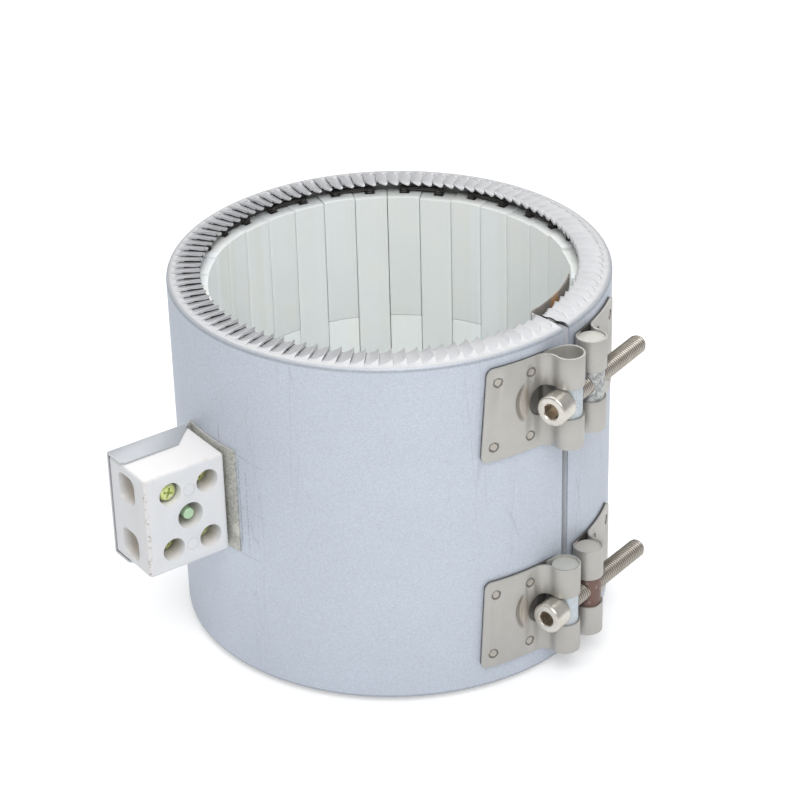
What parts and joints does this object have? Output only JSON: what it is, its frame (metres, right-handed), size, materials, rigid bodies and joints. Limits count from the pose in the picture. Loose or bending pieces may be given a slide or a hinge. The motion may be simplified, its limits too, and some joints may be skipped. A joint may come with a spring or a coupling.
{
  "type": "band heater",
  "caption": "Split sheet-steel band heater lined with ceramic tiles, with pleated rims, screw clamps across its gap and a ceramic terminal block, for heating a barrel or nozzle.",
  "frame": {"origin": "on the axis of the bore, half-way up the band", "axes": "+Z along the bore; -X from the axis towards the terminal block; the screw wells of the terminal block open towards -Y"},
  "size_m": [0.2228, 0.2016, 0.159],
  "materials": {
    "aluminised_sheet": "matte",
    "heat_tinted_sheet": "matte",
    "ceramic_fibre": "matte",
    "tile_ceramic": "matte",
    "resistance_wire": "matte",
    "nickel_strap": "satin",
    "zinc_steel": "satin",
    "nickel_screw": "satin",
    "terminal_ceramic": "satin",
    "bracket_sheet": "matte",
    "brass": "satin",
    "yellow_zinc": "satin"
  },
  "bodies": {
    "band": {"clamp_lower_barrel_plain": "zinc_steel", "clamp_lower_barrel_tapped": "zinc_steel", "clamp_lower_strap_left": "nickel_strap", "clamp_lower_strap_right": "nickel_strap", "clamp_upper_barrel_plain": "zinc_steel", "clamp_upper_barrel_tapped": "zinc_steel", "clamp_upper_strap_left": "nickel_strap", "clamp_upper_strap_right": "nickel_strap", "fibre_blanket": "ceramic_fibre", "gap_end_wall": "heat_tinted_sheet", "gap_tongue": "heat_tinted_sheet", "heating_coil": "resistance_wire", "lead_lower": "resistance_wire", "lead_upper": "resistance_wire", "outer_shell": "aluminised_sheet", "terminal_block": "terminal_ceramic", "terminal_bracket": "bracket_sheet", "terminal_insert_lower": "brass", "terminal_insert_upper": "brass", "terminal_nut": "yellow_zinc", "terminal_stud": "yellow_zinc", "tile_column_01": "tile_ceramic", "tile_column_02": "tile_ceramic", "tile_column_03": "tile_ceramic", "tile_column_04": "tile_ceramic", "tile_column_05": "tile_ceramic", "tile_column_06": "tile_ceramic", "tile_column_07": "tile_ceramic", "tile_column_08": "tile_ceramic", "tile_column_09": "tile_ceramic", "tile_column_10": "tile_ceramic", "tile_column_11": "tile_ceramic", "tile_column_12": "tile_ceramic", "tile_column_13": "tile_ceramic", "tile_column_14": "tile_ceramic", "tile_column_15": "tile_ceramic", "tile_column_16": "tile_ceramic", "tile_column_17": "tile_ceramic", "tile_column_18": "tile_ceramic", "tile_column_19": "tile_ceramic", "tile_column_20": "tile_ceramic", "tile_column_21": "tile_ceramic", "tile_column_22": "tile_ceramic", "tile_column_23": "tile_ceramic", "tile_column_24": "tile_ceramic", "tile_column_25": "tile_ceramic", "tile_column_26": "tile_ceramic", "tile_column_27": "tile_ceramic", "tile_column_28": "tile_ceramic", "tile_column_29": "tile_ceramic", "tile_column_30": "tile_ceramic", "tile_column_31": "tile_ceramic", "tile_column_32": "tile_ceramic", "tile_column_33": "tile_ceramic"},
    "clamp_upper_screw": {"clamp_upper_screw": "nickel_screw"},
    "clamp_lower_screw": {"clamp_lower_screw": "nickel_screw"},
    "terminal_screw_outer_upper": {"terminal_screw_outer_upper": "yellow_zinc"},
    "terminal_screw_outer_lower": {"terminal_screw_outer_lower": "yellow_zinc"},
    "terminal_screw_inner_upper": {"terminal_screw_inner_upper": "yellow_zinc"},
    "terminal_screw_inner_lower": {"terminal_screw_inner_lower": "yellow_zinc"}
  },
  "joints": [
    {"name": "clamp_upper_screw_turn", "type": "hinge", "parent": "band", "child": "clamp_upper_screw", "pos_m": [0.01559, -0.09898, 0.0515], "axis": [0.9432, 0.3321, 0], "continuous": true},
    {"name": "clamp_lower_screw_turn", "type": "hinge", "parent": "band", "child": "clamp_lower_screw", "pos_m": [0.01537, -0.0981, -0.0465], "axis": [0.9598, 0.2806, 0], "continuous": true},
    {"name": "terminal_screw_outer_upper_turn", "type": "hinge", "parent": "band", "child": "terminal_screw_outer_upper", "pos_m": [-0.119, -0.0045, 0.0166], "axis": [0, 1, 0], "continuous": true},
    {"name": "terminal_screw_outer_lower_turn", "type": "hinge", "parent": "band", "child": "terminal_screw_outer_lower", "pos_m": [-0.119, -0.0045, -0.0094], "axis": [0, 1, 0], "continuous": true},
    {"name": "terminal_screw_inner_upper_turn", "type": "hinge", "parent": "band", "child": "terminal_screw_inner_upper", "pos_m": [-0.1017, -0.0045, 0.0166], "axis": [0, 1, 0], "continuous": true},
    {"name": "terminal_screw_inner_lower_turn", "type": "hinge", "parent": "band", "child": "terminal_screw_inner_lower", "pos_m": [-0.1017, -0.0045, -0.0094], "axis": [0, 1, 0], "continuous": true}
  ]
}
